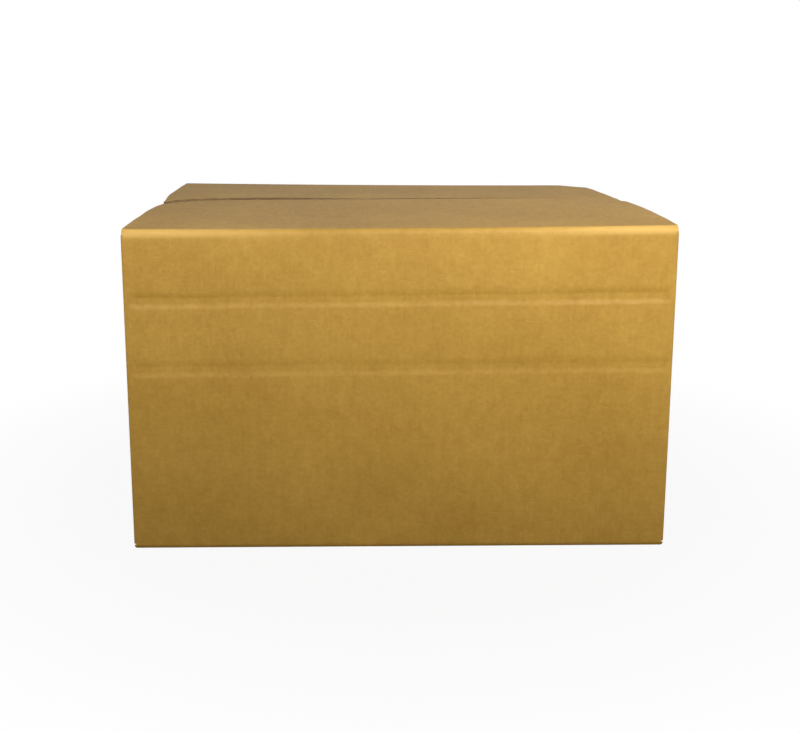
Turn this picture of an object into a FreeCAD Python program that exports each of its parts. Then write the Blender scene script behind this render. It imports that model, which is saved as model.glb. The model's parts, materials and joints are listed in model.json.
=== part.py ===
# A closed slotted carton in double wall corrugated board, with score lines for lower heights round its walls.
# Millimetres, +Z up. The origin is the middle of the underside and the front long wall faces -Y.
# The flutes run up the walls and on across the flaps.

import FreeCAD, Part
import math
import os
import Sketcher

# Driving sizes: name, value, what it is.
SIZES = (
    ("box_length", 622, "outside, left to right"),
    ("box_depth", 521, "outside, front to back"),
    ("box_height", 380, "floor to the top folds of the closed box"),
    ("board_thickness", 6.5, "double wall board"),
    ("fold_radius", 6.8, "outside radius of a folded flap"),
    ("corner_radius", 2.6, "outside radius of an upright corner"),
    ("layer_gap", 0.3, "air between two flaps that lie on each other"),
    ("fold_gap", 0.2, "air in the mitre between a wall and its opening flap"),
    ("seam_gap", 1.5, "between the free edges of two major flaps"),
    ("flap_end_inset", 2.8, "side wall's outside to a major flap's end"),
    ("minor_flap_reach", 258, "side wall's outside to a minor flap's free edge"),
    ("minor_side_gap", 1.5, "front or back wall's inside to a minor flap"),
    ("slot_depth", 3, "minor flap's outer face to the foot of its slots"),
    ("front_flap_spring", 3.5, "how far the middle of the front flap's free edge stands up"),
    ("back_flap_spring", 6, "how far the middle of the back flap's free edge stands up"),
    ("lower_crease", 219, "height of the lower crease"),
    ("upper_crease", 299, "height of the upper crease"),
    ("crease_spacing", 7.5, "between the two grooves of a crease"),
    ("crease_margin", 12, "corner to the end of a crease"),
    ("groove_width", 5, "width of one groove"),
    ("groove_depth", 0.8, "depth of one groove"),
    ("lap_width", 35, "glued lap inside the back wall"),
    ("lap_end_gap", 5, "lap's end to the minor flaps"),
    ("tape_width", 48, "tape over the bottom seam"),
    ("tape_thickness", 0.1, "tape with its glue"),
    ("tape_tail", 60, "floor to the tape's ends on the side walls"),
)

# Places worked out from the driving sizes: name, formula.
PLACES = (
    ("half_length", "box_length / 2"),
    ("half_depth", "box_depth / 2"),
    ("inner_length", "half_length - board_thickness"),
    ("inner_depth", "half_depth - board_thickness"),
    ("corner_length", "half_length - corner_radius"),
    ("corner_depth", "half_depth - corner_radius"),
    ("fold_length", "half_length - fold_radius"),
    ("fold_depth", "half_depth - fold_radius"),
    ("half_seam", "seam_gap / 2"),
    ("major_end", "half_length - flap_end_inset"),
    ("minor_side", "inner_depth - minor_side_gap"),
    ("minor_tip", "half_length - minor_flap_reach"),
    ("floor_face", "tape_thickness"),
    ("floor_fold", "floor_face + fold_radius"),
    ("floor_inside", "floor_face + board_thickness"),
    ("low_minor_under", "floor_inside + layer_gap"),
    ("low_minor_fold", "low_minor_under + fold_radius"),
    ("low_minor_top", "low_minor_under + board_thickness"),
    ("lid_fold", "box_height - fold_radius"),
    ("lid_inside", "box_height - board_thickness"),
    ("top_minor_over", "lid_inside - layer_gap"),
    ("top_minor_fold", "top_minor_over - fold_radius"),
    ("top_minor_under", "top_minor_over - board_thickness"),
    ("wall_foot", "low_minor_under + slot_depth"),
    ("wall_head", "top_minor_over - slot_depth"),
    ("mitre_set", "fold_radius * (1 - sqrt(0.5))"),
    ("mitre_depth", "half_depth - mitre_set"),
    ("mitre_height", "box_height - mitre_set"),
    ("mitre_shift", "fold_gap * sqrt(2)"),
    ("flap_mitre_in", "inner_depth - mitre_shift"),
    ("flap_mitre_run", "(sqrt(2 * fold_radius ^ 2 - mitre_shift ^ 2) - mitre_shift) / 2"),
    ("flap_mitre_depth", "fold_depth + flap_mitre_run"),
    ("flap_mitre_height", "lid_fold + flap_mitre_run + mitre_shift"),
    ("front_spring_top", "box_height + front_flap_spring"),
    ("front_spring_under", "lid_inside + front_flap_spring"),
    ("back_spring_top", "box_height + back_flap_spring"),
    ("back_spring_under", "lid_inside + back_flap_spring"),
    ("groove_half", "groove_width / 2"),
    ("groove_out_depth", "half_depth + groove_depth"),
    ("groove_in_depth", "half_depth - groove_depth"),
    ("groove_out_length", "half_length + groove_depth"),
    ("groove_in_length", "half_length - groove_depth"),
    ("lap_edge", "inner_length - lap_width"),
    ("lap_face", "inner_depth - board_thickness"),
    ("tape_side", "half_length + tape_thickness"),
    ("tape_turn", "major_end + tape_thickness"),
)

CENTRE = "sheet_zero"
FOLD = "fold_radius"
CORNER = "corner_radius"


def write_sizes(doc):
    """Puts the driving sizes and the places worked out from them in a sheet."""
    sheet = doc.addObject("Spreadsheet::Sheet", "sizes")
    cells = [(name, str(value), note) for name, value, note in SIZES]
    cells += [(CENTRE, "0", "the origin")]
    cells += [(name, "=" + formula, "worked out") for name, formula in PLACES]
    for row, (name, content, note) in enumerate(cells, start=1):
        sheet.set(f"A{row}", name)
        sheet.set(f"B{row}", content)
        sheet.setAlias(f"B{row}", name)
        sheet.set(f"C{row}", note)
    doc.recompute()
    return sheet


def signed(sheet, name):
    """Returns a place's expression and its value. A name may start with a minus sign."""
    plain = name.lstrip("-")
    sign = -1.0 if name.startswith("-") else 1.0
    return ("-" if sign < 0 else "") + f"sizes.{plain}", sign * float(sheet.get(plain))


def add_sketch(body, sheet, plane, name, offset=None):
    """Starts a sketch on one of the body's origin planes, moved off it by an expression."""
    sketch = body.newObject("Sketcher::SketchObject", name)
    origin = next(item for item in body.Origin.OriginFeatures if item.Role == plane)
    sketch.AttachmentSupport = [(origin, "")]
    sketch.MapMode = "FlatFace"
    if offset is not None:
        sketch.setExpression("AttachmentOffset.Base.z", offset)
    return sketch


def arc_between(start, end, radius):
    """Makes the arc that bulges to the right of the way from start to end."""
    middle = (start + end) * 0.5
    chord = end - start
    rise = math.sqrt(radius ** 2 - (chord.Length / 2) ** 2)
    centre = middle + FreeCAD.Vector(-chord.y, chord.x, 0).normalize() * rise
    first = math.atan2(start.y - centre.y, start.x - centre.x)
    last = math.atan2(end.y - centre.y, end.x - centre.x)
    if last < first:
        last += 2 * math.pi
    circle = Part.Circle(centre, FreeCAD.Vector(0, 0, 1), radius)
    return Part.ArcOfCircle(circle, first, last)


def add_outline(sketch, sheet, outline):
    """Draws a closed outline anticlockwise. A corner is (across, up, radius of an arc to the next or None)."""
    corners = [(signed(sheet, across), signed(sheet, up), arc) for across, up, arc in outline]
    points = [FreeCAD.Vector(across[1], up[1], 0) for across, up, _ in corners]
    edges = []
    for index, (across, up, arc) in enumerate(corners):
        start = points[index]
        end = points[(index + 1) % len(points)]
        if arc is None:
            edge = sketch.addGeometry(Part.LineSegment(start, end), False)
        else:
            edge = sketch.addGeometry(arc_between(start, end, float(sheet.get(arc))), False)
            bound = sketch.addConstraint(Sketcher.Constraint("Radius", edge, float(sheet.get(arc))))
            sketch.setExpression(f"Constraints[{bound}]", f"sizes.{arc}")
        edges.append(edge)
    for index, (across, up, _) in enumerate(corners):
        edge = edges[index]
        sketch.addConstraint(Sketcher.Constraint("Coincident", edges[index - 1], 2, edge, 1))
        for kind, (expression, value) in (("DistanceX", across), ("DistanceY", up)):
            bound = sketch.addConstraint(Sketcher.Constraint(kind, -1, 1, edge, 1, value))
            sketch.setExpression(f"Constraints[{bound}]", expression)


def flipped(name):
    """Changes the sign of a named place."""
    return name[1:] if name.startswith("-") else "-" + name


def mirrored(outline):
    """Mirrors an outline left to right and keeps it anticlockwise."""
    count = len(outline)
    turned = []
    for index in range(count - 1, -1, -1):
        across, up, _ = outline[index]
        turned.append((flipped(across), up, outline[index - 1][2]))
    return turned


def rectangle(left, right, low, high):
    """The outline of a rectangle."""
    return [(left, low, None), (right, low, None), (right, high, None), (left, high, None)]


def pad(body, sketch, name, length, both_ways=True):
    """Pads a sketch to a length given as an expression."""
    feature = body.newObject("PartDesign::Pad", name)
    feature.Profile = sketch
    feature.setExpression("Length", length)
    feature.Midplane = both_ways
    return feature


def pocket(body, sketch, name, length):
    """Cuts a sketch out both ways from its plane, to a length given as an expression."""
    feature = body.newObject("PartDesign::Pocket", name)
    feature.Profile = sketch
    feature.setExpression("Length", length)
    feature.Midplane = True
    return feature


def wall_ring(body, sheet):
    """The four walls between the feet and heads of the corner slots, with a raw square edge at the lap."""
    sketch = add_sketch(body, sheet, "XY_Plane", "wall_plan", "sizes.wall_foot")
    outer = [
        ("-corner_length", "-half_depth", None),
        ("corner_length", "-half_depth", CORNER),
        ("half_length", "-corner_depth", None),
        ("half_length", "corner_depth", CORNER),
        ("corner_length", "half_depth", None),
        ("-half_length", "half_depth", None),
        ("-half_length", "-corner_depth", CORNER),
    ]
    add_outline(sketch, sheet, outer)
    add_outline(sketch, sheet, rectangle("-inner_length", "inner_length", "-inner_depth", "inner_depth"))
    pad(body, sketch, "wall_pad", "sizes.wall_head - sizes.wall_foot", both_ways=False)


def side_fold_room(body, sheet):
    """Takes the side walls back to where their minor flaps start to fold."""
    sketch = add_sketch(body, sheet, "YZ_Plane", "side_fold_rooms")
    add_outline(sketch, sheet, rectangle("-minor_side", "minor_side", "wall_foot", "low_minor_fold"))
    add_outline(sketch, sheet, rectangle("-minor_side", "minor_side", "top_minor_fold", "wall_head"))
    pocket(body, sketch, "side_fold_cut", "2 * sizes.box_length")


def minor_strips(body, sheet):
    """Each side wall with its two minor flaps, folded round it as one strip."""
    sketch = add_sketch(body, sheet, "XZ_Plane", "minor_profiles")
    left = [
        ("-minor_tip", "top_minor_over", None),
        ("-fold_length", "top_minor_over", FOLD),
        ("-half_length", "top_minor_fold", None),
        ("-half_length", "low_minor_fold", FOLD),
        ("-fold_length", "low_minor_under", None),
        ("-minor_tip", "low_minor_under", None),
        ("-minor_tip", "low_minor_top", None),
        ("-inner_length", "low_minor_top", None),
        ("-inner_length", "top_minor_under", None),
        ("-minor_tip", "top_minor_under", None),
    ]
    add_outline(sketch, sheet, left)
    add_outline(sketch, sheet, mirrored(left))
    pad(body, sketch, "minor_pad", "2 * sizes.minor_side")


def major_strips(body, sheet):
    """The front and back walls with their bottom flaps, up to the mitres of the opening flaps."""
    sketch = add_sketch(body, sheet, "YZ_Plane", "major_profiles")
    front = [
        ("-inner_depth", "lid_inside", None),
        ("-mitre_depth", "mitre_height", FOLD),
        ("-half_depth", "lid_fold", None),
        ("-half_depth", "floor_fold", FOLD),
        ("-fold_depth", "floor_face", None),
        ("-half_seam", "floor_face", None),
        ("-half_seam", "floor_inside", None),
        ("-inner_depth", "floor_inside", None),
    ]
    add_outline(sketch, sheet, front)
    add_outline(sketch, sheet, mirrored(front))
    pad(body, sketch, "major_pad", "2 * sizes.major_end")


def glued_lap(body, sheet):
    """The lap of the left wall, glued inside the back wall."""
    sketch = add_sketch(body, sheet, "XY_Plane", "lap_plan", "sizes.low_minor_top + sizes.lap_end_gap")
    add_outline(sketch, sheet, rectangle("-inner_length", "-lap_edge", "lap_face", "inner_depth"))
    height = "sizes.top_minor_under - sizes.low_minor_top - 2 * sizes.lap_end_gap"
    pad(body, sketch, "lap_pad", height, both_ways=False)


def crease_grooves(body, sheet):
    """Two grooves for each crease, pressed into the outside of all four walls."""
    walls = (
        ("long", "half_depth", "groove_out_depth", "groove_in_depth", "box_length"),
        ("short", "half_length", "groove_out_length", "groove_in_length", "box_depth"),
    )
    for crease in ("lower_crease", "upper_crease"):
        for side, sign in (("under", "-"), ("over", "+")):
            middle = f"sizes.{crease} {sign} sizes.crease_spacing / 2"
            for wall, face, outside, inside, run in walls:
                cut_groove(body, sheet, f"{crease}_{side}_{wall}", wall, (face, outside, inside), run, middle)


def cut_groove(body, sheet, name, wall, places, run, middle):
    """Cuts one groove in a pair of opposite walls: its outline is half outside the wall."""
    face, outside, inside = places
    plane = "YZ_Plane" if wall == "long" else "XZ_Plane"
    sketch = add_sketch(body, sheet, plane, f"{name}_sketch")
    sketch.setExpression("AttachmentOffset.Base.y", middle)
    right = [
        (inside, CENTRE, None),
        (face, "-groove_half", None),
        (outside, CENTRE, None),
        (face, "groove_half", None),
    ]
    add_outline(sketch, sheet, right)
    add_outline(sketch, sheet, mirrored(right))
    pocket(body, sketch, name, f"sizes.{run} - 2 * sizes.crease_margin")


def make_carton(doc, sheet):
    """The folded sheet: four walls, the lap, four bottom flaps and two minor top flaps."""
    body = doc.addObject("PartDesign::Body", "carton_body")
    wall_ring(body, sheet)
    side_fold_room(body, sheet)
    minor_strips(body, sheet)
    major_strips(body, sheet)
    glued_lap(body, sheet)
    crease_grooves(body, sheet)
    return body


def flap_outline(edge_top, edge_under, side):
    """A major top flap's section: its mitre, its fold and its free edge at the given heights."""
    front = [
        ("-half_seam", edge_top, None),
        ("-fold_depth", "box_height", FOLD),
        ("-flap_mitre_depth", "flap_mitre_height", None),
        ("-flap_mitre_in", "lid_inside", None),
        ("-half_seam", edge_under, None),
    ]
    return front if side == "front" else mirrored(front)


def make_flap(doc, sheet, name, side, end_edge, middle_edge):
    """A major top flap, slightly bowed: its free edge lies at both ends and stands up at its middle."""
    body = doc.addObject("PartDesign::Body", name)
    sections = []
    for offset, edge in (("-sizes.major_end", end_edge), (None, middle_edge), ("sizes.major_end", end_edge)):
        sketch = add_sketch(body, sheet, "YZ_Plane", f"{name}_section", offset)
        add_outline(sketch, sheet, flap_outline(edge[0], edge[1], side))
        sections.append(sketch)
    loft = body.newObject("PartDesign::AdditiveLoft", f"{name}_loft")
    loft.Profile = sections[0]
    loft.Sections = sections[1:]
    loft.Ruled = True
    return body


def make_tape(doc, sheet):
    """The tape along the bottom seam, with a tail up each side wall."""
    body = doc.addObject("PartDesign::Body", "bottom_tape")
    sketch = add_sketch(body, sheet, "XZ_Plane", "tape_profile")
    right_half = [
        ("tape_turn", CENTRE, None),
        ("tape_side", "low_minor_under", None),
        ("tape_side", "tape_tail", None),
        ("half_length", "tape_tail", None),
        ("half_length", "low_minor_under", None),
        ("major_end", "floor_face", None),
    ]
    add_outline(sketch, sheet, right_half + mirrored(right_half))
    pad(body, sketch, "tape_pad", "sizes.tape_width")
    return body


def failures(doc):
    """Names the objects that didn't recompute."""
    return [item.Name for item in doc.Objects if {"Invalid", "Error"} & set(item.State)]


def main():
    """Builds the carton and writes each sub-part to its own file."""
    doc = FreeCAD.newDocument("carton")
    sheet = write_sizes(doc)
    lying = ("box_height", "lid_inside")
    front_up = ("front_spring_top", "front_spring_under")
    back_up = ("back_spring_top", "back_spring_under")
    sub_parts = [
        make_carton(doc, sheet),
        make_flap(doc, sheet, "top_front_flap", "front", lying, front_up),
        make_flap(doc, sheet, "top_back_flap", "back", lying, back_up),
        make_tape(doc, sheet),
    ]
    for body in sub_parts:
        body.Label = body.Name
        body.Placement = FreeCAD.Placement()
    doc.recompute()
    bad = failures(doc)
    if bad:
        raise RuntimeError(f"these objects failed: {bad}")
    os.makedirs("parts", exist_ok=True)
    for body in sub_parts:
        shape = body.Shape
        if shape.isNull() or not shape.isValid():
            raise RuntimeError(f"{body.Label} has no valid shape")
        if len(shape.Solids) != 1:
            raise RuntimeError(f"{body.Label} has {len(shape.Solids)} solids")
        shape.exportStep(os.path.join("parts", body.Label + ".step"))
        print(body.Label, "volume", round(shape.Volume), "box", shape.BoundBox)


main()
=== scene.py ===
"""A closed cardboard carton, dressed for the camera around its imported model.

Each sheet of board is cut flat on a grid, given its plies and cut edges, and folded as the real one is.
"""
import json
import logging
import math
from dataclasses import dataclass, field
from enum import Enum
from typing import Callable, Sequence

import bmesh
import bpy
from mathutils import Matrix, Vector, noise


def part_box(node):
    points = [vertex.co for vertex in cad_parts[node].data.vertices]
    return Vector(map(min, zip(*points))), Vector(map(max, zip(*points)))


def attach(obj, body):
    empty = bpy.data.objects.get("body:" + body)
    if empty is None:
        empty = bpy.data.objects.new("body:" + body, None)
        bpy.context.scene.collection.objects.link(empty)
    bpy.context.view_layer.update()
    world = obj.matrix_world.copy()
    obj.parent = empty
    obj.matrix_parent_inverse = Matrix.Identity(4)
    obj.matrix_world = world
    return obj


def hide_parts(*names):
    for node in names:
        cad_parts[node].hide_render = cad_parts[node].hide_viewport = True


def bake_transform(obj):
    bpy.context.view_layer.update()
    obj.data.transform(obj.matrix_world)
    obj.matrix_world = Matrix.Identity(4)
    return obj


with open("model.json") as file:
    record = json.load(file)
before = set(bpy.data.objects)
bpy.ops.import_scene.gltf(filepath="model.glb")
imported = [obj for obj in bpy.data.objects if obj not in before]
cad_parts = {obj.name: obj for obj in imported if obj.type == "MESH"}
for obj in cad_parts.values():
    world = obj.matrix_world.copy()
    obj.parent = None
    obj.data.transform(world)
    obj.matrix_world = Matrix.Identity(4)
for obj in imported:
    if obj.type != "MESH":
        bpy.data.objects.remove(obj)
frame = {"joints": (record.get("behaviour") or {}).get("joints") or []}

LOG = logging.getLogger("carton")
MM = 0.001
TOUCH = 1e-6
IMAGE_WIDTH = 800.0
IMAGE_HEIGHT = 732.0
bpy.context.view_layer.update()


class Side(Enum):
    """The two walls that carry an opening flap, with the sign of their Y."""

    FRONT = -1
    BACK = 1


class Zone(Enum):
    """The parts of the sheet round the carton, which fold at different heights."""

    LAP = "lap"
    CORNER = "corner"
    MINOR = "minor"
    MAJOR = "major"


@dataclass(frozen=True)
class Board:
    """Double wall board: liners and the two fluted layers between them.

    Attributes:
        plies: depths below the outside at which the layers meet.
        fold_radius: outside radius of a folded flap.
        corner_radius: outside radius of an upright corner.
        pinch: inside radius of an upright corner.
        squeeze: how far from a corner's outside the board starts to be squeezed.
        notch: how far the inner liner of a fold lies from both outsides, in shares of the thickness.
        recess: how far the fluted layers lie back from a cut edge.
        fine_pitch: length of one flute in the outer layer.
        coarse_pitch: length of one flute in the inner layer.
        paper: thickness of the fluted paper.
        flute_steps: grid steps to one flute.
    """

    plies: tuple[float, ...] = (0.0, 0.45 * MM, 2.75 * MM, 3.15 * MM, 6.05 * MM, 6.5 * MM)
    fold_radius: float = 6.8 * MM
    corner_radius: float = 2.6 * MM
    pinch: float = 0.3 * MM
    squeeze: float = 12 * MM
    notch: float = 0.75
    recess: float = 5 * MM
    fine_pitch: float = 6.4 * MM
    coarse_pitch: float = 7.9 * MM
    paper: float = 0.28 * MM
    flute_steps: int = 8

    @property
    def thickness(self) -> float:
        """Returns the whole thickness."""
        return self.plies[-1]

    @property
    def fold_run(self) -> float:
        """Returns the length of a flap fold's outside arc."""
        return self.fold_radius * math.pi / 2

    @property
    def corner_run(self) -> float:
        """Returns the length of an upright corner's outside arc."""
        return self.corner_radius * math.pi / 2

    def inner_shift(self, away: float) -> float:
        """Returns how far the inside lies further from a corner than the outside does.

        Args:
            away: distance from the start of the corner's outside arc.
        """
        room = self.squeeze - self.corner_radius
        most = self.thickness + self.pinch - self.corner_radius
        return most * max(1 - away / room, 0.0)

    def folded(self, run: float, depth: float) -> tuple[float, float]:
        """Bends a point over a fold.

        Args:
            run: distance along the outside from where the fold starts.
            depth: depth below the outside.

        Returns:
            How far the point lies inwards from the wall's face, and its height above the fold's start.
        """
        radius = self.fold_radius
        if run < 0:
            return depth, run
        if run > self.fold_run:
            return radius + run - self.fold_run, radius - depth
        angle = run / radius
        outer = (radius - radius * math.cos(angle), radius * math.sin(angle))
        inner_in = self.notch * self.thickness + self.pinch * (1 - math.cos(angle))
        inner_up = radius - self.notch * self.thickness - self.pinch * (1 - math.sin(angle))
        share = depth / self.thickness
        return outer[0] + (inner_in - outer[0]) * share, outer[1] + (inner_up - outer[1]) * share


@dataclass(frozen=True)
class Shape:
    """The carton's outside sizes and places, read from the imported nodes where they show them.

    Attributes:
        half_length: from the middle to a side wall's outside.
        half_depth: from the middle to the front or back wall's outside.
        fold_height: height of the top folds.
        major_end: from the middle to an opening flap's end.
        floor_face: height of the underside.
        layer_gap: air between two flaps that lie on each other.
        minor_side: from the middle to a minor flap's side.
        minor_tip: from the middle to a minor flap's free edge.
        half_seam: from the middle to an opening flap's free edge.
        slot_depth: minor fold to the foot of the slots.
        lap_width: width of the glued lap.
        lap_end_gap: the lap's end to the minor flaps.
        lid_strip: height of the strip of wall that is made with an opening flap.
        creases: heights of the two creases.
    """

    half_length: float
    half_depth: float
    fold_height: float
    major_end: float
    floor_face: float
    layer_gap: float = 0.3 * MM
    minor_side: float = 252.5 * MM
    minor_tip: float = 53 * MM
    half_seam: float = 0.75 * MM
    slot_depth: float = 0.5 * MM
    lap_width: float = 35 * MM
    lap_end_gap: float = 5 * MM
    lid_strip: float = 13 * MM
    creases: tuple[float, float] = (219 * MM, 299 * MM)

    @classmethod
    def from_frame(cls) -> "Shape":
        """Reads the outside sizes from the nodes and the fold height from the front flap's hinge."""
        body_low, body_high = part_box("carton_body")
        _, flap_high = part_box("top_front_flap")
        hinge = next(joint for joint in frame["joints"] if joint["child"] == "front_flap")
        return cls(body_high.x, body_high.y, hinge["pos_m"][2], flap_high.x, body_low.z)


def smooth(value: float) -> float:
    """Returns the smoothstep of a value that is first held between 0 and 1."""
    held = min(max(value, 0.0), 1.0)
    return held * held * (3 - 2 * held)


def ripple(x: float, y: float, size: float, seed: float) -> float:
    """Returns a soft wave between about -1 and 1 whose features are about size metres long."""
    return noise.noise(Vector((x / size, y / size, seed)))


@dataclass(frozen=True)
class Relief:
    """How the handled board departs from flat: pressed creases, bowed panels and a lid that has settled.

    Attributes:
        crease_top: how far above its middle a crease starts to press the wall in.
        crease_drop: height over which it presses in further and further.
        crease_floor: height of the nearly upright board below that.
        crease_lip: height over which the wall comes back out again.
        crease_depth: how deep the drop presses in.
        crease_slope: how much deeper the floor still goes, for its height.
        crease_forces: how strongly each crease is pressed.
        crease_tilts: how much higher each crease lies at its right end than in its middle.
        crease_margin: how far a crease ends before a rounded corner.
        crease_fade: how far from there it takes to reach its full depth.
        crease_wander: how far a crease strays up and down.
        nick: place along the front wall, foot, head and depth of a small upright nick.
        nick_ends: height over which the nick fades out at its ends.
        nick_width: half the nick's width.
        lean_height: height of the band under the top fold where a wall leans in.
        lean: how far it leans in at the fold's ends.
        bow: how far a wall's middle is bowed in.
        dent: half the depth of its small dents.
        front_settle: height changes of the front top fold at its left end, its middle and its right end.
        back_settle: the same of the back top fold.
        corner_drop: how much lower the lid's back right corner is.
        corner_reach: how far from that corner the back fold starts to drop.
        seam_dip: how much lower the lid's left end is at its seam.
        seam_reach: how far from the seam that dip reaches.
    """

    crease_top: float = 13.5 * MM
    crease_drop: float = 9.5 * MM
    crease_floor: float = 6.6 * MM
    crease_lip: float = 7.6 * MM
    crease_depth: float = 1.8 * MM
    crease_forces: tuple[float, float] = (0.65, 1.0)
    crease_slope: float = 0.03
    crease_tilts: tuple[float, float] = (2.0 * MM, 2.0 * MM)
    crease_margin: float = 3 * MM
    crease_fade: float = 7 * MM
    crease_wander: float = 0.6 * MM
    nick: tuple[float, float, float, float] = (291.5 * MM, 306 * MM, 319 * MM, 0.35 * MM)
    nick_ends: float = 3 * MM
    nick_width: float = 1.3 * MM
    lean_height: float = 20 * MM
    lean: float = 2.0 * MM
    bow: float = 1.5 * MM
    dent: float = 0.22 * MM
    front_settle: tuple[float, float, float] = (-1.2 * MM, -1.6 * MM, 0.6 * MM)
    back_settle: tuple[float, float, float] = (1.4 * MM, -2.8 * MM, -4.4 * MM)
    corner_drop: float = 3.4 * MM
    corner_reach: float = 48 * MM
    seam_dip: float = 0.6 * MM
    seam_reach: float = 42 * MM

    def crease(self, shape: Shape, across: float, height: float, half_run: float) -> float:
        """Returns how deep the creases press the wall in at a place.

        Args:
            shape: the carton's sizes.
            across: distance along the wall from its middle.
            height: height above the floor.
            half_run: half the wall's length.
        """
        pressed = 0.0
        share = across / half_run
        room = smooth((half_run - self.crease_margin - abs(across)) / self.crease_fade)
        for index, middle in enumerate(shape.creases):
            wander = self.crease_wander * ripple(across, index, 60 * MM, half_run)
            wander += self.crease_tilts[index] * share
            below = middle + wander + self.crease_top - height
            force = 0.6 + 0.4 * share ** 2 + 0.35 * ripple(across, index, 45 * MM, 7.0 + half_run)
            pressed += self.crease_forces[index] * force * self.crease_section(below)
        return pressed * room

    def crease_section(self, below: float) -> float:
        """Returns a crease's depth at a distance below its top: pressed in slowly, and soon out again."""
        if below <= self.crease_drop:
            return self.crease_depth * (max(below, 0.0) / self.crease_drop) ** 2
        past = below - self.crease_drop
        floor = self.crease_depth + self.crease_slope * min(past, self.crease_floor)
        return floor * (1 - smooth((past - self.crease_floor) / self.crease_lip))

    def nicked(self, across: float, height: float) -> float:
        """Returns how deep the small upright nick in the front wall is at a place."""
        place, foot, head, depth = self.nick
        ends = smooth((height - foot) / self.nick_ends) * smooth((head - height) / self.nick_ends)
        return depth * ends * math.exp(-((across - place) / self.nick_width) ** 2)

    def inward(self, shape: Shape, across: float, height: float, half_run: float, seed: float) -> float:
        """Returns how far a wall's outside lies in from its flat plane, its creases left out.

        Args:
            shape: the carton's sizes.
            across: distance along the wall from its middle.
            height: height above the floor.
            half_run: half the wall's length.
            seed: what makes this wall's dents its own.
        """
        top = (height - (shape.fold_height - self.lean_height)) / self.lean_height
        lean = self.lean * max(top, 0.0) ** 2 * (0.35 + 0.65 * min(abs(across / half_run), 1.0) ** 1.5)
        side = min(max(1 - (across / half_run) ** 2, 0.0), 1.0)
        low = smooth((height - 14 * MM) / (60 * MM))
        high = smooth((shape.fold_height - height) / (90 * MM))
        bulge = 0.5 + 0.5 * ripple(across, height, 240 * MM, seed)
        dent = self.dent * (1 + ripple(across, height, 38 * MM, seed + 3.0))
        return lean + self.bow * side * low * high * bulge + dent * side * low

    @staticmethod
    def along_fold(settle: tuple[float, float, float], share: float) -> float:
        """Returns the height change at a share of a fold's way, -1 at its left end and 1 at its right."""
        left, middle, right = settle
        return middle + (right - left) / 2 * share + ((left + right) / 2 - middle) * share ** 2

    def settled(self, place: Vector, shape: Shape) -> float:
        """Returns how much the settled lid changes the height at a place. It dies away down the walls."""
        share = smooth((place.z / shape.fold_height - 0.7) / 0.28)
        across = min(max(place.x / shape.half_length, -1.0), 1.0)
        back = min(max(place.y / shape.half_depth * 0.5 + 0.5, 0.0), 1.0)
        front_fold = self.along_fold(self.front_settle, across)
        back_fold = self.along_fold(self.back_settle, across)
        corner = smooth((place.x - shape.half_length + self.corner_reach) / self.corner_reach)
        dip = smooth((-across - 0.35) / 0.65) * math.exp(-(place.y / self.seam_reach) ** 2)
        lower = self.corner_drop * corner * back ** 3 + self.seam_dip * dip
        return share * (front_fold * (1 - back) + back_fold * back - lower)


def filled(keys: Sequence[float], step: float) -> list[float]:
    """Fills in between sorted key stations so that no gap is wider than a step."""
    stations = [keys[0]]
    for low, high in zip(keys, keys[1:]):
        parts = max(1, math.ceil((high - low) / step - 1e-9))
        stations += [low + (high - low) * part / parts for part in range(1, parts + 1)]
    return stations


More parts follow.
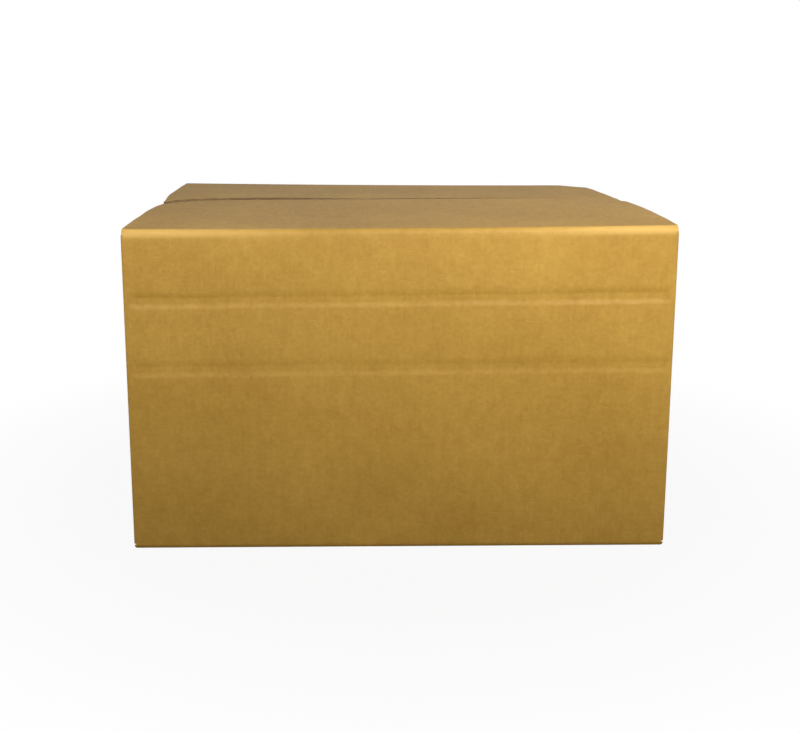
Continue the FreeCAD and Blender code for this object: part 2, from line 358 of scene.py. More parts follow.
@dataclass
class FlatSheet:
    """A sheet of board laid flat: X across, Y along the flutes, Z minus the depth.

    Attributes:
        board: the board that it is cut from.
        across: grid stations in X.
        along: grid stations in Y.
        keep: tells whether the cell round a place is board.
        butted: tells whether the rim at a place meets more board, and so stays plain.
    """

    board: Board
    across: list[float]
    along: list[float]
    keep: Callable[[float, float], bool]
    butted: Callable[[float, float], bool]
    mesh: bmesh.types.BMesh = field(default_factory=bmesh.new)

    def cut(self) -> None:
        """Makes the grid, moves it to its stations and deletes the slots."""
        columns, rows = len(self.across) - 1, len(self.along) - 1
        bmesh.ops.create_grid(self.mesh, x_segments=columns, y_segments=rows, size=1.0)
        for vertex in self.mesh.verts:
            column = round((vertex.co.x + 1) / 2 * columns)
            row = round((vertex.co.y + 1) / 2 * rows)
            vertex.co = (self.across[column], self.along[row], 0.0)
        waste = [
            face
            for face in self.mesh.faces
            if not self.keep(face.calc_center_median().x, face.calc_center_median().y)
        ]
        bmesh.ops.delete(self.mesh, geom=waste, context="FACES")

    def lay_plies(self) -> None:
        """Thickens the sheet ply by ply, so that its rim shows every layer. Its inside stays empty."""
        region = list(self.mesh.faces)
        for upper, lower in zip(self.board.plies, self.board.plies[1:]):
            made = bmesh.ops.extrude_face_region(self.mesh, geom=region)["geom"]
            if upper > 0:
                bmesh.ops.delete(self.mesh, geom=region, context="FACES")
            points = [item for item in made if isinstance(item, bmesh.types.BMVert)]
            bmesh.ops.translate(self.mesh, verts=points, vec=(0.0, 0.0, upper - lower))
            region = [item for item in made if isinstance(item, bmesh.types.BMFace)]
        bmesh.ops.recalc_face_normals(self.mesh, faces=self.mesh.faces)

    def recess_flutes(self) -> None:
        """Sets the fluted layers back from every cut edge."""
        plies = self.board.plies
        for upper, lower in ((plies[1], plies[2]), (plies[3], plies[4])):
            band = []
            for face in self.mesh.faces:
                middle = face.calc_center_median()
                rim = abs(face.normal.z) < 0.5 and -lower < middle.z < -upper
                if rim and not self.butted(middle.x, middle.y):
                    band.append(face)
            made = bmesh.ops.extrude_face_region(self.mesh, geom=band)["geom"]
            moved = [item for item in made if isinstance(item, bmesh.types.BMVert)]
            floor = [item for item in made if isinstance(item, bmesh.types.BMFace)]
            ways = {vertex: Vector() for vertex in moved}
            for face in floor:
                for vertex in face.verts:
                    ways[vertex] = self.stretched(ways[vertex], -face.normal)
            for vertex, way in ways.items():
                vertex.co += way * self.board.recess
        self.mark_cut_faces()

    @staticmethod
    def stretched(way: Vector, normal: Vector) -> Vector:
        """Adds a rim face's inward direction to a vertex's way, once for each direction that it has."""
        if way.length == 0 or abs(way.dot(normal)) < 0.5:
            return way + normal
        return way

    def mark_cut_faces(self) -> None:
        """Gives the rim and the recesses the cut edge's material."""
        for face in self.mesh.faces:
            if abs(face.normal.z) < 0.5:
                face.material_index = 1
            elif -self.board.plies[-1] + TOUCH < face.calc_center_median().z < -TOUCH:
                face.material_index = 1

    def add_flutes(self, left: float, right: float, edge: float, inwards: float) -> None:
        """Adds both fluted layers at an edge that cuts across the flutes.

        Args:
            left: where the edge starts in X.
            right: where it ends.
            edge: the edge's Y.
            inwards: 1 or -1, the way in Y from the edge into the sheet.
        """
        board = self.board
        outer = (board.plies[1], board.plies[2], board.fine_pitch)
        inner = (board.plies[3], board.plies[4], board.coarse_pitch)
        set_back, overrun = 0.15 * MM, 0.4 * MM
        for upper, lower, pitch in (outer, inner):
            count = round((right - left) / pitch * board.flute_steps)
            made = bmesh.ops.create_grid(self.mesh, x_segments=count, y_segments=1, size=1.0)["verts"]
            middle = (upper + lower) / 2
            swing = (lower - upper) / 2 - board.paper / 2
            for vertex in made:
                x = left + (right - left) * (vertex.co.x + 1) / 2
                share = (vertex.co.y + 1) / 2
                wave = math.sin(2 * math.pi * x / pitch + 0.6 * ripple(x, edge, 60 * MM, pitch * 1000))
                y = edge + inwards * (set_back + (board.recess + overrun) * share)
                vertex.co = (x, y, -middle + swing * wave + board.paper / 2)
            faces = list({face for vertex in made for face in vertex.link_faces})
            lower_side = bmesh.ops.extrude_face_region(self.mesh, geom=faces)["geom"]
            points = [item for item in lower_side if isinstance(item, bmesh.types.BMVert)]
            bmesh.ops.translate(self.mesh, verts=points, vec=(0.0, 0.0, -board.paper))
            shell = list({face for vertex in made + points for face in vertex.link_faces})
            bmesh.ops.recalc_face_normals(self.mesh, faces=shell)
            for face in shell:
                face.material_index = 1

    def fold(
        self,
        name: str,
        placed: Callable[[float, float, float], Vector],
        unrolled: Callable[[float, float], tuple[float, float]],
    ) -> bpy.types.Object:
        """Folds the flat sheet and makes it an object.

        Args:
            name: the piece's name.
            placed: gives the folded place of a point at (across, along, depth).
            unrolled: gives the place on the whole flat blank of a point at (across, along).

        Returns:
            The finished piece, with its places on the blank as the UV map "blank".
        """
        layer = self.mesh.loops.layers.uv.new("blank")
        for face in self.mesh.faces:
            for loop in face.loops:
                loop[layer].uv = unrolled(loop.vert.co.x, loop.vert.co.y)
            face.smooth = True
        for vertex in self.mesh.verts:
            vertex.co = placed(vertex.co.x, vertex.co.y, -vertex.co.z)
        data = bpy.data.meshes.new(name)
        self.mesh.to_mesh(data)
        self.mesh.free()
        data.set_sharp_from_angle(angle=math.radians(38))
        piece = bpy.data.objects.new(name, data)
        bpy.context.scene.collection.objects.link(piece)
        return piece


@dataclass(frozen=True)
class RingPlace:
    """A place on the walls' outside, seen from above.

    Attributes:
        place: the place itself.
        out: the outward direction.
        away: the distance from the wall's middle.
        half: half the wall's length between its rounded corners.
        room: the distance from the nearest rounded corner.
        wall: the wall's number, 0 for the lap and then from the left wall on.
        shift: how far the inside is moved along the wall, away from the corner.
    """

    place: Vector
    out: Vector
    away: float
    half: float
    room: float
    wall: int
    shift: Vector = field(default_factory=Vector)


@dataclass
class CartonSheet:
    """The folded sheet: walls, lap, bottom flaps and the two minor top flaps.

    Attributes:
        board: the board that it is cut from.
        shape: the carton's sizes.
        relief: how the handled board departs from flat.
        wall_rows: height of the walls' part of the grid.
        first_row: height above the floor at which that part starts.
        end_row: height over which its ends are stretched to where each kind of wall folds.
        row_step: widest gap between two wall rows.
        flap_step: widest gap between two flap rows.
        column_step: widest gap between two columns.
        flare: how far a bottom fold's ends spread outwards.
        flare_reach: how far from its end a major flap starts to spread.
    """

    board: Board
    shape: Shape
    relief: Relief
    wall_rows: float = 346.4 * MM
    first_row: float = 13.7 * MM
    end_row: float = 12 * MM
    row_step: float = 8 * MM
    flap_step: float = 30 * MM
    column_step: float = 9.5 * MM
    flare: float = 2 * MM
    flare_reach: float = 24 * MM

    def __post_init__(self) -> None:
        """Works out where each wall starts along the sheet."""
        radius = self.board.corner_radius
        turn = self.board.corner_run
        wide = 2 * self.shape.half_length - 2 * radius
        deep = 2 * self.shape.half_depth - 2 * radius
        self.lap_end = self.shape.lap_width - radius
        self.left_start = self.lap_end + turn
        self.left_end = self.left_start + deep - self.board.thickness
        self.front_start = self.left_end + turn
        self.front_end = self.front_start + wide
        self.right_start = self.front_end + turn
        self.right_end = self.right_start + deep
        self.back_start = self.right_end + turn
        self.back_end = self.back_start + wide + radius
        self.walls = (
            (self.left_start, self.left_end),
            (self.front_start, self.front_end),
            (self.right_start, self.right_end),
            (self.back_start, self.back_end),
        )
        self.flaps = self.flap_ranges()

    def flap_ranges(self) -> list[tuple[float, float, Zone]]:
        """Returns each wall's flap range along the sheet, with its kind."""
        radius = self.board.corner_radius
        end_inset = self.shape.half_length - self.shape.major_end - radius
        side_inset = self.shape.half_depth - self.shape.minor_side - radius
        lap_side = side_inset - self.board.thickness
        return [
            (self.left_start + max(lap_side, 1 * MM), self.left_end - side_inset, Zone.MINOR),
            (self.front_start + end_inset, self.front_end - end_inset, Zone.MAJOR),
            (self.right_start + side_inset, self.right_end - side_inset, Zone.MINOR),
            (self.back_start + end_inset, self.back_end - end_inset - radius, Zone.MAJOR),
        ]

    def zone(self, across: float) -> Zone:
        """Returns the kind of board at a distance along the sheet."""
        if across <= self.lap_end + TOUCH:
            return Zone.LAP
        for low, high, kind in self.flaps:
            if low - TOUCH <= across <= high + TOUCH:
                return kind
        return Zone.CORNER

    def ring(self, across: float) -> RingPlace:
        """Finds a place on the walls' outside from the distance along the sheet.

        Args:
            across: the distance along the sheet.
        """
        board = self.board
        radius = board.corner_radius
        long, deep = self.shape.half_length, self.shape.half_depth
        inside = deep - board.thickness
        starts = (
            ((-long + radius + self.lap_end, inside, 0), (-1, 0, 0), long - radius),
            ((-long, inside - radius, 0), (0, -1, 0), deep - radius),
            ((-long + radius, -deep, 0), (1, 0, 0), long - radius),
            ((long, -deep + radius, 0), (0, 1, 0), deep - radius),
            ((long - radius, deep, 0), (-1, 0, 0), long - radius),
        )
        runs = ((0.0, self.lap_end), *self.walls)
        last = len(runs) - 1
        for wall, ((start, end), (corner, way, half)) in enumerate(zip(runs, starts)):
            corner, way = Vector(corner), Vector(way)
            out = Vector((way.y, -way.x, 0))
            if across <= end + TOUCH or wall == last:
                place = corner + way * (across - start)
                away = place.dot(way)
                room = half - abs(away) if wall in (0, last) else min(across - start, end - across)
                before = board.inner_shift(across - start) if wall > 0 else 0.0
                after = board.inner_shift(end - across) if wall < last else 0.0
                return RingPlace(place, out, away, half, max(room, 0.0), wall, way * (before - after))
            turn = across - end
            if turn < board.corner_run:
                angle = turn / radius
                heading = out * math.cos(angle) + way * math.sin(angle)
                tip = corner + way * (end - start + radius)
                place = tip - (way + out) * radius + heading * radius
                inner = tip - (way + out) * (board.thickness + board.pinch) + heading * board.pinch
                shift = inner - place + heading * board.thickness
                return RingPlace(place, heading, half + turn, half, 0.0, wall, shift)
        raise ValueError(f"{across} is past the sheet's end")

    def ends(self, kind: Zone) -> tuple[float, float]:
        """Returns the heights at which the walls of a kind start to fold at the bottom and the top."""
        radius, thick, gap = self.board.fold_radius, self.board.thickness, self.shape.layer_gap
        low = self.shape.floor_face
        minor_low = low + thick + gap
        minor_top = self.shape.fold_height - thick - gap
        if kind is Zone.MAJOR:
            return low + radius, self.shape.fold_height - self.shape.lid_strip
        if kind is Zone.MINOR:
            return minor_low + radius, minor_top - radius
        if kind is Zone.LAP:
            return minor_low + thick + self.shape.lap_end_gap, minor_top - thick - self.shape.lap_end_gap
        return minor_low + self.shape.slot_depth, minor_top - self.shape.slot_depth

    def height(self, along: float, kind: Zone) -> float:
        """Returns the height of a wall row. The rows differ only next to their ends."""
        low, high = self.ends(kind)
        plain = self.first_row + along
        if along < self.end_row:
            share = along / self.end_row
            return low + (self.first_row + self.end_row - low) * share
        if along > self.wall_rows - self.end_row:
            share = (self.wall_rows - along) / self.end_row
            return high + (self.first_row + self.wall_rows - self.end_row - high) * share
        return plain

    def placed(self, across: float, along: float, depth: float) -> Vector:
        """Folds a point of the flat sheet into its place."""
        kind = self.zone(across)
        spot = self.ring(across)
        low, high = self.ends(kind)
        run = max(-along, along - self.wall_rows, 0.0)
        fade = 1.0
        if run > 0:
            inset, rise = self.board.folded(self.scaled(run, self.flap_reach(kind)), depth)
            start = low if along < 0 else high
            height = start + math.copysign(rise, along)
            fade = 1 - smooth(run / self.board.fold_run)
            inset += self.pressed(spot, start, depth) * fade
        else:
            height = self.height(along, kind)
            inset = depth + self.pressed(spot, height, depth)
        folded = spot.place - spot.out * inset + spot.shift * (fade * depth / self.board.thickness)
        if kind is Zone.MAJOR:
            folded.x += math.copysign(self.foot_spread(folded.x, run), folded.x)
        folded.z = height
        folded.z += self.relief.settled(folded, self.shape)
        return folded

    def foot_spread(self, across: float, run: float) -> float:
        """Returns how far a bottom fold's ends spread outwards under the corner slots."""
        near = smooth(run / (0.8 * MM)) * (1 - smooth((run - 2 * MM) / (7 * MM)))
        return self.flare * near * self.end_share(across)

    def end_share(self, across: float) -> float:
        """Returns how far a place on a major flap is into the part that spreads, from 0 to 1 at its end."""
        return smooth((abs(across) - self.shape.major_end + self.flare_reach) / self.flare_reach)

    def unrolled(self, across: float, along: float) -> tuple[float, float]:
        """Returns a point's place on the blank: the distance along the sheet, and up the board."""
        kind = self.zone(across)
        low, high = self.ends(kind)
        if along < 0:
            return across, low - self.scaled(-along, self.flap_reach(kind))
        if along > self.wall_rows:
            return across, high + self.scaled(along - self.wall_rows, self.flap_reach(kind))
        return across, self.height(along, kind)

    def pressed(self, spot: RingPlace, height: float, depth: float) -> float:
        """Returns how far a wall's relief moves a point inwards. The lap follows the back wall's inside."""
        if spot.wall == 0:
            spot = RingPlace(spot.place, spot.out, -spot.place.x, spot.half, spot.room, 4)
            depth = self.board.thickness
        at_corner = smooth(spot.room / (14 * MM))
        moved = self.relief.inward(self.shape, spot.away, height, spot.half, float(spot.wall)) * at_corner
        groove = self.relief.crease(self.shape, spot.away, height, spot.half)
        if spot.wall == 2:
            groove += self.relief.nicked(spot.away, height)
        return moved + groove * max(1 - depth / self.board.thickness, 0.0) ** 0.5

    def flap_reach(self, kind: Zone) -> float:
        """Returns how far a flap of a kind goes past its fold."""
        if kind is Zone.MINOR:
            return self.shape.half_length - self.board.fold_radius - self.shape.minor_tip
        return self.shape.half_depth - self.board.fold_radius - self.shape.half_seam

    def scaled(self, run: float, reach: float) -> float:
        """Turns a row past the fold into the real distance for a flap of the given reach."""
        past = run - self.board.fold_run
        return run if past <= 0 else self.board.fold_run + past * reach / self.longest_reach

    @property
    def longest_reach(self) -> float:
        """Returns the reach that the rows are laid out for."""
        return self.flap_reach(Zone.MAJOR)

    def columns(self) -> list[float]:
        """Returns the grid stations along the sheet."""
        keys = {0.0, self.lap_end, self.back_end}
        for low, high, _ in self.flaps:
            keys |= {low, high, low + 5 * MM, high - 5 * MM}
        for before, (start, end) in zip(((0.0, self.lap_end), *self.walls), self.walls):
            turn = start - before[1]
            keys |= {before[1] + turn * part / 6 for part in range(7)}
            keys |= {start + inset * MM for inset in (3, 6, 9.4, 14, 18)}
            keys |= {end - inset * MM for inset in (3, 6, 9.4, 14, 18)}
        middle = (self.front_start + self.front_end) / 2 + self.relief.nick[0]
        keys |= {middle + offset * MM for offset in (-3.2, -1.6, -0.8, 0, 0.8, 1.6, 3.2)}
        return filled(merged(keys), self.column_step)

    def rows(self) -> list[float]:
        """Returns the grid stations along the flutes."""
        turn, top = self.board.fold_run, self.wall_rows
        fold = [turn * part / 5 for part in range(1, 6)]
        flap = filled([0.0, 0.8 * MM, *fold, turn + 7 * MM, turn + self.longest_reach], self.flap_step)
        keys = {0.0, 5 * MM, self.end_row, top - self.end_row, top - 5 * MM, top}
        for crease in self.shape.creases:
            middle = crease - self.first_row
            keys |= {middle + offset * MM for offset in (-14, 11.5, 13.5, 15.5, 18)}
            keys |= {middle + 0.95 * step * MM for step in range(-12, 11)}
        walls = filled(merged(keys), self.row_step)
        return [-run for run in reversed(flap[1:])] + walls + [top + run for run in flap[1:]]

    def lid_stations(self, side: Side) -> list[float]:
        """Returns the stations in X, from the left, that an opening flap's strip shares with its wall."""
        number = 1 if side is Side.FRONT else 3
        low, high, _ = self.flaps[number]
        shared = [across for across in self.columns() if low - TOUCH <= across <= high + TOUCH]
        return sorted(self.ring(across).place.x for across in shared)

    def is_board(self, across: float, along: float) -> bool:
        """Tells whether a place on the flat sheet is board: the walls, and the flaps between the slots."""
        if 0 < along < self.wall_rows:
            return True
        kind = self.zone(across)
        return kind is Zone.MINOR or (kind is Zone.MAJOR and along < 0)

    def is_butted(self, across: float, along: float) -> bool:
        """Tells whether a rim place is where an opening flap's strip goes on."""
        return self.zone(across) is Zone.MAJOR and abs(along - self.wall_rows) < TOUCH

    def build(self) -> bpy.types.Object:
        """Cuts, plies and folds the sheet.

        Returns:
            The sheet as one piece.
        """
        sheet = FlatSheet(self.board, self.columns(), self.rows(), self.is_board, self.is_butted)
        sheet.cut()
        sheet.lay_plies()
        sheet.recess_flutes()
        tip = self.board.fold_run + self.longest_reach
        for low, high, kind in self.flaps:
            if kind is Zone.MINOR:
                sheet.add_flutes(low, high, self.wall_rows + tip, -1.0)
                sheet.add_flutes(low, high, -tip, 1.0)
        return sheet.fold("carton_sheet", self.placed, self.unrolled)


def merged(keys: set[float]) -> list[float]:
    """Sorts stations and drops those that lie closer than a tenth of a millimetre."""
    kept: list[float] = []
    for key in sorted(keys):
        if not kept or key - kept[-1] > 0.1 * MM:
            kept.append(key)
    return kept


@dataclass(frozen=True)
class Spring:
    """How a major top flap's free edge stands up, at a share of its way from -1 at its left end to 1.

    Attributes:
        left: height at the left end.
        right: height at the right end.
        bow: how much more it stands up in between.
        catch: how much more the left part stands up where the edge has caught on the other flap.
        fall: how much the right end drops below that.
        end_swell: how far the flap's right end bulges up between its fold and its free edge.
        lip: how much the last of the flap droops to its free edge.
        worn: how far the left free corner is worn back, and over what share of the flap.
    """

    left: float = -0.8 * MM
    right: float = 1.9 * MM
    bow: float = 5.4 * MM
    catch: float = 0.0
    fall: float = 0.0
    end_swell: float = 0.0
    lip: float = 0.0
    worn: tuple[float, float] = (5.0 * MM, 0.36)

    def height(self, share: float) -> float:
        """Returns how far the free edge stands up at a share of its way."""
        held = min(max(share, -1.0), 1.0)
        plain = self.left + (self.right - self.left) * (held + 1) / 2 + self.bow * (1 - abs(held) ** 8)
        caught = self.catch * (1 - smooth((held + 0.55) / 0.45))
        return plain + caught - self.fall * max(held - 0.35, 0.0) ** 2


@dataclass
class OpeningFlap:
    """A major top flap with the strip of wall below its fold, bent at its hinge.

    Attributes:
        carton: the sheet that it is part of.
        side: the wall that carries it.
        spring: how its free edge stands up.
        name: the piece's name.
        body: the hinged body that it is meant for; not used.
        flare: how much wider than its strip it is at each end, where it spreads over the slot.
        swell: how far its middle bulges.
        droop_share: share of its reach over which it droops to its free edge.
        row_step: widest gap between two rows.
    """

    carton: CartonSheet
    side: Side
    spring: Spring
    name: str
    body: str
    flare: float = 1.8 * MM
    swell: float = 1.1 * MM
    droop_share: float = 0.055
    row_step: float = 10 * MM

    @property
    def shape(self) -> Shape:
        """Returns the carton's sizes."""
        return self.carton.shape

    @property
    def board(self) -> Board:
        """Returns the board."""
        return self.carton.board

    @property
    def strip(self) -> float:
        """Returns the length of the strip of wall below the fold."""
        return self.shape.lid_strip - self.board.fold_radius

    @property
    def reach(self) -> float:
        """Returns how far the flap goes past its fold."""
        return self.shape.half_depth - self.board.fold_radius - self.shape.half_seam

    def wall_spot(self, across: float) -> RingPlace:
        """Returns the place on the wall's ring that the flap's strip goes on from."""
        return self.carton.ring(self.sheet_place(across))

    def sheet_place(self, across: float) -> float:
        """Returns the distance along the carton's sheet at a place across."""
        carton = self.carton
        half = self.shape.half_length - self.board.corner_radius
        if self.side is Side.FRONT:
            return carton.front_start + half + across
        return carton.back_start + half - across

    def placed(self, across: float, along: float, depth: float) -> Vector:
        """Folds a point of the flat flap into its place."""
        run = along - self.strip
        tangent = self.shape.fold_height - self.board.fold_radius
        inset, rise = self.board.folded(run, depth)
        height = tangent + rise
        spot = self.wall_spot(across)
        fade = 1 - smooth(run / self.board.fold_run)
        inset += self.carton.pressed(spot, min(height, tangent), depth) * fade
        past = max(run - self.board.fold_run, 0.0) / self.reach
        if past > 0:
            height += self.spring.height(across / self.shape.major_end) * past ** 1.1
            height += self.bulge(across, past)
            droop = smooth((past - 1 + self.droop_share) / self.droop_share)
            height -= self.spring.lip * droop ** 2
        place = spot.place - spot.out * inset + spot.shift * (fade * depth / self.board.thickness)
        place.x += self.spread(across, run) * (1 if across > 0 else -1)
        place.z = height
        place.z += self.carton.relief.settled(place, self.shape)
        return place

    def spread(self, across: float, run: float) -> float:
        """Returns how far the flap's ends spread outwards over the corner slots."""
        above = smooth((run + 0.2 * MM) / (0.8 * MM))
        near = self.carton.end_share(across)
        if across > 0:
            return self.flare * above * near
        depth, share = self.spring.worn
        past = (run - self.board.fold_run) / self.reach
        return (self.flare * above - depth * smooth((past - 1 + share) / share)) * near

    def bulge(self, across: float, past: float) -> float:
        """Returns a small soft rise that keeps the flap from being a perfect plane."""
        room = smooth(past / 0.2) * smooth((1 - past) / 0.2)
        at_end = smooth((across / self.shape.major_end - 0.5) / 0.5) * math.sin(math.pi * min(past, 1.0))
        plain = self.swell * room * (0.5 + 0.5 * ripple(across, past, 180 * MM, 11.0 + self.side.value))
        return plain + self.spring.end_swell * at_end

    def unrolled(self, across: float, along: float) -> tuple[float, float]:
        """Returns a point's place on the carton's blank."""
        low = self.shape.fold_height - self.shape.lid_strip
        return self.sheet_place(across), low + along

    def build(self) -> bpy.types.Object:
        """Cuts, plies and folds the flap.

        Returns:
            The flap as one piece, with the strip of wall below its fold.
        """
        turn = self.board.fold_run
        end = self.shape.major_end
        tip = self.strip + turn + self.reach
        arcs = {self.strip + turn * part / 10 for part in range(11)}
        keys = arcs | {0.0, self.strip - 0.2 * MM, self.strip + 0.6 * MM, self.strip + turn + 6.2 * MM}
        keys |= {tip - inset * MM for inset in (14, 11, 8, 5, 2.5, 0)}
        stations = self.carton.lid_stations(self.side)
        along = filled(merged(keys), self.row_step)
        sheet = FlatSheet(self.board, stations, along, lambda x, y: True, lambda x, y: abs(y) < TOUCH)
        sheet.cut()
        sheet.lay_plies()
        sheet.recess_flutes()
        sheet.add_flutes(-end + 0.5 * MM, end - 0.5 * MM, tip, -1.0)
        piece = sheet.fold(self.name, self.placed, self.unrolled)
        if self.side is Side.BACK:
            piece.data.flip_normals()
        radius = self.board.fold_radius
        edge = self.side.value * self.shape.half_depth
        start = (0.0, edge, self.shape.fold_height - radius)
        finish = (0.0, edge - self.side.value * radius, self.shape.fold_height)
        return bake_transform(piece)


@dataclass
class BottomTape:
    """The tape along the bottom seam, pressed on the floor flaps and up the side walls."""

    shape: Shape
    carton: CartonSheet
    tail: float = 59.8 * MM
    half_width: float = 23.9 * MM
    film: float = 0.09 * MM

    def turns(self) -> list[tuple[float, float]]:
        """Returns the corners of the tape's way, from the middle of the floor to the end of its tail.

        It runs flat to the floor flap's end, spans the slot and lies on the side wall's fold.
        """
        floor, edge = self.shape.floor_face, self.shape.major_end
        radius = self.carton.board.fold_radius
        middle = (self.shape.half_length - radius, self.carton.ends(Zone.MINOR)[0])
        away = math.hypot(middle[0] - edge, middle[1] - floor)
        slope = math.atan2(middle[1] - floor, middle[0] - edge) - math.asin(radius / away)
        first = math.pi / 2 - slope
        path = [(0.0, floor), (edge - 1 * MM, floor), (edge, floor + 0.2 * MM)]
        for part in range(4):
            angle = first * (1 - part / 3)
            path.append((middle[0] + radius * math.cos(angle), middle[1] - radius * math.sin(angle)))
        return path + [(self.shape.half_length, self.tail)]

    def placed(self, run: float, across: float, depth: float) -> Vector:
        """Finds a point of the film.

        Args:
            run: distance along the tape from the middle of the floor, below 0 to the left.
            across: distance from the tape's middle line.
            depth: depth below the film's outside.
        """
        side = 1 if run > 0 else -1
        left = abs(run)
        corners = self.turns()
        for start, end in zip(corners, corners[1:]):
            length = math.dist(start, end)
            if left <= length or end == corners[-1]:
                break
            left -= length
        way = Vector((end[0] - start[0], 0, end[1] - start[1])) / length
        point = Vector((start[0], 0, start[1])) + way * left
        point += Vector((way.z, 0, -way.x)) * (self.film - depth)
        half = self.shape.half_depth - self.carton.board.corner_radius
        spot = RingPlace(point, way, side * across, half, half - abs(across), 3 if side > 0 else 1)
        if left > 0 and way.z > 0.9:
            point.x -= self.carton.pressed(spot, point.z, 0.0)
        return Vector((side * point.x, across, point.z))

    def build(self) -> bpy.types.Object:
        """Lays the tape.

        Returns:
            The tape as one piece.
        """
        corners = self.turns()
        lengths = [math.dist(a, b) for a, b in zip(corners, corners[1:])]
        keys = [0.0]
        for length in lengths:
            keys.append(keys[-1] + length)
        half = filled(keys, 12 * MM)
        runs = [-key for key in reversed(half[1:])] + half
        rows = filled([-self.half_width, 0.0, self.half_width], 6 * MM)
        mesh = bmesh.new()
        columns, lines = len(runs) - 1, len(rows) - 1
        bmesh.ops.create_grid(mesh, x_segments=columns, y_segments=lines, size=1.0)
        for vertex in mesh.verts:
            run = runs[round((vertex.co.x + 1) / 2 * columns)]
            across = rows[round((vertex.co.y + 1) / 2 * lines)]
            ragged = 0.5 * MM * ripple(across, 0.0, 3 * MM, 2.0) if abs(run) >= runs[-1] - 1e-9 else 0.0
            vertex.co = (run - math.copysign(abs(ragged), run), across, 0.0)
        made = bmesh.ops.extrude_face_region(mesh, geom=list(mesh.faces))["geom"]
        points = [item for item in made if isinstance(item, bmesh.types.BMVert)]
        bmesh.ops.translate(mesh, verts=points, vec=(0.0, 0.0, -self.film))
        bmesh.ops.recalc_face_normals(mesh, faces=mesh.faces)
        layer = mesh.loops.layers.uv.new("blank")
        for face in mesh.faces:
            for loop in face.loops:
                loop[layer].uv = (loop.vert.co.x, loop.vert.co.y)
            face.smooth = True
        for vertex in mesh.verts:
            vertex.co = self.placed(vertex.co.x, vertex.co.y, -vertex.co.z)
        bmesh.ops.recalc_face_normals(mesh, faces=mesh.faces)
        data = bpy.data.meshes.new("tape_film")
        mesh.to_mesh(data)
        mesh.free()
        data.set_sharp_from_angle(angle=math.radians(50))
        piece = bpy.data.objects.new("tape_film", data)
        bpy.context.scene.collection.objects.link(piece)
        return piece


@dataclass
class NodeBench:
    """Adds and joins the nodes of one tree."""

    tree: bpy.types.NodeTree

    def add(self, kind: str, **settings: object) -> bpy.types.Node:
        """Adds a node and sets its own settings.

        Args:
            kind: the node's type name.
            settings: attributes of the node.
        """
        node = self.tree.nodes.new(kind)
        for name, value in settings.items():
            setattr(node, name, value)
        return node

    def join(self, source: bpy.types.NodeSocket, target: bpy.types.NodeSocket) -> None:
        """Links two sockets."""
        self.tree.links.new(source, target)

    def feed(self, value: object, target: bpy.types.NodeSocket) -> None:
        """Links a socket to the target, or sets the target to a plain value."""
        if isinstance(value, bpy.types.NodeSocket):
            self.join(value, target)
        else:
            target.default_value = value

    def math(self, operation: str, first: object, second: object = 0.0) -> bpy.types.NodeSocket:
        """Returns the output of a Math node."""
        node = self.add("ShaderNodeMath", operation=operation)
        self.feed(first, node.inputs[0])
        self.feed(second, node.inputs[1])
        return node.outputs[0]

    def stretch(self, place: object, scale: tuple[float, float, float]) -> bpy.types.NodeSocket:
        """Returns a vector scaled axis by axis."""
        node = self.add("ShaderNodeVectorMath", operation="MULTIPLY")
        self.feed(place, node.inputs[0])
        node.inputs[1].default_value = scale
        return node.outputs[0]

    def weighed(self, value: object, weight: float) -> bpy.types.NodeSocket:
        """Returns a value's distance from a half, times a weight."""
        return self.math("MULTIPLY", self.math("SUBTRACT", value, 0.5), weight)

    def cloud(
        self, place: object, scale: float, detail: float, rough: float = 0.55
    ) -> bpy.types.NodeSocket:
        """Returns the value of a Noise node."""
        node = self.add("ShaderNodeTexNoise")
        self.feed(place, node.inputs["Vector"])
        node.inputs["Scale"].default_value = scale
        node.inputs["Detail"].default_value = detail
        node.inputs["Roughness"].default_value = rough
        return node.outputs[0]

    def span(
        self, value: object, low: float, high: float, to_low: float = 0.0, to_high: float = 1.0
    ) -> bpy.types.NodeSocket:
        """Returns a value mapped smoothly from one range to another."""
        node = self.add("ShaderNodeMapRange", interpolation_type="SMOOTHSTEP")
        self.feed(value, node.inputs["Value"])
        bounds = (low, high, to_low, to_high)
        for name, bound in zip(("From Min", "From Max", "To Min", "To Max"), bounds):
            node.inputs[name].default_value = bound
        return node.outputs["Result"]

    def mix(self, share: object, first: object, second: object, blend: str = "MIX") -> bpy.types.NodeSocket:
        """Returns a mix of two colours."""
        node = self.add("ShaderNodeMix", data_type="RGBA", blend_type=blend)
        self.feed(share, node.inputs[0])
        self.feed(first, node.inputs[6])
        self.feed(second, node.inputs[7])
        return node.outputs[2]

    def bump(
        self, height: bpy.types.NodeSocket, strength: float, distance: float, shader: bpy.types.Node
    ) -> None:
        """Adds a Bump node that raises a shader's surface."""
        node = self.add("ShaderNodeBump")
        node.inputs["Strength"].default_value = strength
        node.inputs["Distance"].default_value = distance
        self.join(height, node.inputs["Height"])
        self.join(node.outputs[0], shader.inputs["Normal"])

    def seen(self) -> bpy.types.NodeSocket:
        """Returns 1 for what the camera sees, also through clear film, and 0 for what lights a surface."""
        path = self.add("ShaderNodeLightPath")
        return self.math("MAXIMUM", path.outputs["Is Camera Ray"], path.outputs["Is Transmission Ray"])

    def blend(
        self, share: bpy.types.NodeSocket, first: bpy.types.Node, second: bpy.types.Node
    ) -> bpy.types.NodeSocket:
        """Returns a mix of two shaders."""
        node = self.add("ShaderNodeMixShader")
        self.join(share, node.inputs[0])
        self.join(first.outputs[0], node.inputs[1])
        self.join(second.outputs[0], node.inputs[2])
        return node.outputs[0]


